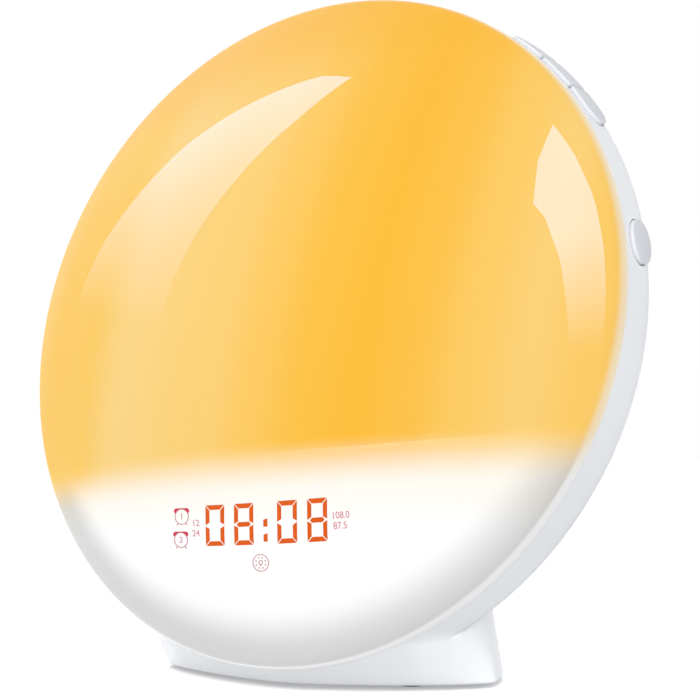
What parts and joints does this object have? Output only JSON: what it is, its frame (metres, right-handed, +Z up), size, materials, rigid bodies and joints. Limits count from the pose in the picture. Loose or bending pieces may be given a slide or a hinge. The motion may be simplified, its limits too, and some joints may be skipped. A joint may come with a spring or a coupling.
{
  "type": "sunrise alarm clock",
  "caption": "Round sunrise lamp and alarm clock: a domed diffuser with a lit time display leans back on a moulded foot, with press keys round its rim.",
  "frame": {"origin": "middle of the footprint box, on the surface that the clock stands on", "axes": "+X to the right of someone who looks at the display, +Y to the back, +Z up"},
  "size_m": [0.1972, 0.0832, 0.1954],
  "materials": {
    "diffuser": "glossy translucent, lit amber from inside, white at the display",
    "housing": "fine satin white moulding",
    "base_plastic": "fine textured moulding",
    "rubber_pad": "matt",
    "screw_steel": "zinc plated",
    "weight_steel": "plain steel",
    "white_inner": "white reflector moulding",
    "lamp_board_white": "white solder mask",
    "lamp_phosphor": "silicone over the lamp chips",
    "black_plastic": "moulded black plastic",
    "circuit_green": "green solder mask",
    "display_case": "white display case",
    "display_orange": "lit orange bars",
    "ribbon_grey": "flat ribbon",
    "capacitor_sleeve": "dark blue sleeve",
    "cell_steel": "bright steel can",
    "grommet_rubber": "matt",
    "basket_steel": "stamped steel",
    "cone_paper": "pressed paper",
    "magnet_ferrite": "ferrite",
    "key_plastic": "satin light grey moulding",
    "plunger_plastic": "moulded plastic"
  },
  "bodies": {
    "root": {"diffuser_dome": "diffuser", "rear_housing": "housing", "base_plate": "base_plastic", "foot_pads": "rubber_pad", "base_screws": "screw_steel", "case_screws": "screw_steel", "ballast_weight": "weight_steel", "mid_frame": "white_inner", "light_baffle": "white_inner", "lamp_board": "lamp_board_white", "lamp_chips": "lamp_phosphor", "lamp_header": "black_plastic", "display_board": "circuit_green", "display_module": "display_case", "display_segments": "display_orange", "display_ribbon": "ribbon_grey", "main_board": "circuit_green", "control_chip": "black_plastic", "board_capacitors": "capacitor_sleeve", "cell_holder": "black_plastic", "coin_cell": "cell_steel", "power_jack": "black_plastic", "jack_nut": "screw_steel", "antenna_grommet": "grommet_rubber", "speaker_basket": "basket_steel", "speaker_cone": "cone_paper", "speaker_magnet": "magnet_ferrite", "small_screws": "screw_steel", "right_row_board": "circuit_green", "right_row_switches": "black_plastic", "right_oval_board": "circuit_green", "right_oval_switch": "black_plastic", "left_row_board": "circuit_green", "left_row_switches": "black_plastic", "left_oval_board": "circuit_green", "left_oval_switch": "black_plastic", "top_board": "circuit_green", "top_switches": "black_plastic"},
    "right_key_low": {"right_key_low": "key_plastic", "right_plunger_low": "plunger_plastic"},
    "right_key_mid": {"right_key_mid": "key_plastic", "right_plunger_mid": "plunger_plastic"},
    "right_key_high": {"right_key_high": "key_plastic", "right_plunger_high": "plunger_plastic"},
    "right_key_oval": {"right_key_oval": "key_plastic", "right_plunger_oval": "plunger_plastic"},
    "left_key_low": {"left_key_low": "key_plastic", "left_plunger_low": "plunger_plastic"},
    "left_key_mid": {"left_key_mid": "key_plastic", "left_plunger_mid": "plunger_plastic"},
    "left_key_high": {"left_key_high": "key_plastic", "left_plunger_high": "plunger_plastic"},
    "left_key_oval": {"left_key_oval": "key_plastic", "left_plunger_oval": "plunger_plastic"},
    "top_key": {"top_key": "key_plastic", "top_plungers": "plunger_plastic"}
  },
  "joints": [
    {"name": "right_key_low_press", "type": "slide", "parent": "root", "child": "right_key_low", "axis": [-0.8231, -0.0986, -0.5592], "range_m": [0, 0.0006], "stiffness_N_per_m": 2500},
    {"name": "right_key_mid_press", "type": "slide", "parent": "root", "child": "right_key_mid", "axis": [-0.8231, -0.0986, -0.5592], "range_m": [0, 0.0006], "stiffness_N_per_m": 2500},
    {"name": "right_key_high_press", "type": "slide", "parent": "root", "child": "right_key_high", "axis": [-0.8231, -0.0986, -0.5592], "range_m": [0, 0.0006], "stiffness_N_per_m": 2500},
    {"name": "right_key_oval_press", "type": "slide", "parent": "root", "child": "right_key_oval", "axis": [-0.9984, -0.0097, -0.055], "range_m": [0, 0.0006], "stiffness_N_per_m": 2500},
    {"name": "left_key_low_press", "type": "slide", "parent": "root", "child": "left_key_low", "axis": [0.8231, -0.0986, -0.5592], "range_m": [0, 0.0006], "stiffness_N_per_m": 2500},
    {"name": "left_key_mid_press", "type": "slide", "parent": "root", "child": "left_key_mid", "axis": [0.8231, -0.0986, -0.5592], "range_m": [0, 0.0006], "stiffness_N_per_m": 2500},
    {"name": "left_key_high_press", "type": "slide", "parent": "root", "child": "left_key_high", "axis": [0.8231, -0.0986, -0.5592], "range_m": [0, 0.0006], "stiffness_N_per_m": 2500},
    {"name": "left_key_oval_press", "type": "slide", "parent": "root", "child": "left_key_oval", "axis": [0.9984, -0.0097, -0.055], "range_m": [0, 0.0006], "stiffness_N_per_m": 2500},
    {"name": "top_key_press", "type": "slide", "parent": "root", "child": "top_key", "axis": [0, -0.1736, -0.9848], "range_m": [0, 0.0006], "stiffness_N_per_m": 2500}
  ]
}
